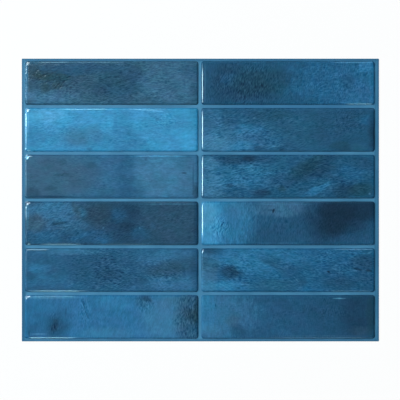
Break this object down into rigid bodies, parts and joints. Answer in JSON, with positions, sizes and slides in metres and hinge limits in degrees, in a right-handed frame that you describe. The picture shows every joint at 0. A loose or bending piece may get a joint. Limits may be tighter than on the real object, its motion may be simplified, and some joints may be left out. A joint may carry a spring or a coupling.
{
  "type": "peel and stick backsplash tile",
  "caption": "Flat self-adhesive wall tile sheet: oblong glossy mottled-blue gel tiles with rolled edges on a thin blue base, over a peel-off release liner.",
  "frame": {"origin": "centre of the underside, on the release liner", "axes": "+X along the sheet's length, to the right as the wall is faced; +Y up the wall; +Z out of the tile faces"},
  "size_m": [0.3048, 0.2414, 0.0021],
  "materials": {
    "liner": "satin",
    "joint_blue": "gloss",
    "glaze_bright": "gloss",
    "glaze_mid": "gloss",
    "glaze_deep": "gloss"
  },
  "bodies": {
    "root": {"release_liner": "liner", "base_sheet": "joint_blue", "tile_row_1_left": "glaze_deep", "tile_row_1_right": "glaze_deep", "tile_row_2_left": "glaze_bright", "tile_row_2_right": "glaze_deep", "tile_row_3_left": "glaze_mid", "tile_row_3_right": "glaze_deep", "tile_row_4_left": "glaze_deep", "tile_row_4_right": "glaze_deep", "tile_row_5_left": "glaze_deep", "tile_row_5_right": "glaze_mid", "tile_row_6_left": "glaze_mid", "tile_row_6_right": "glaze_deep"}
  },
  "joints": []
}
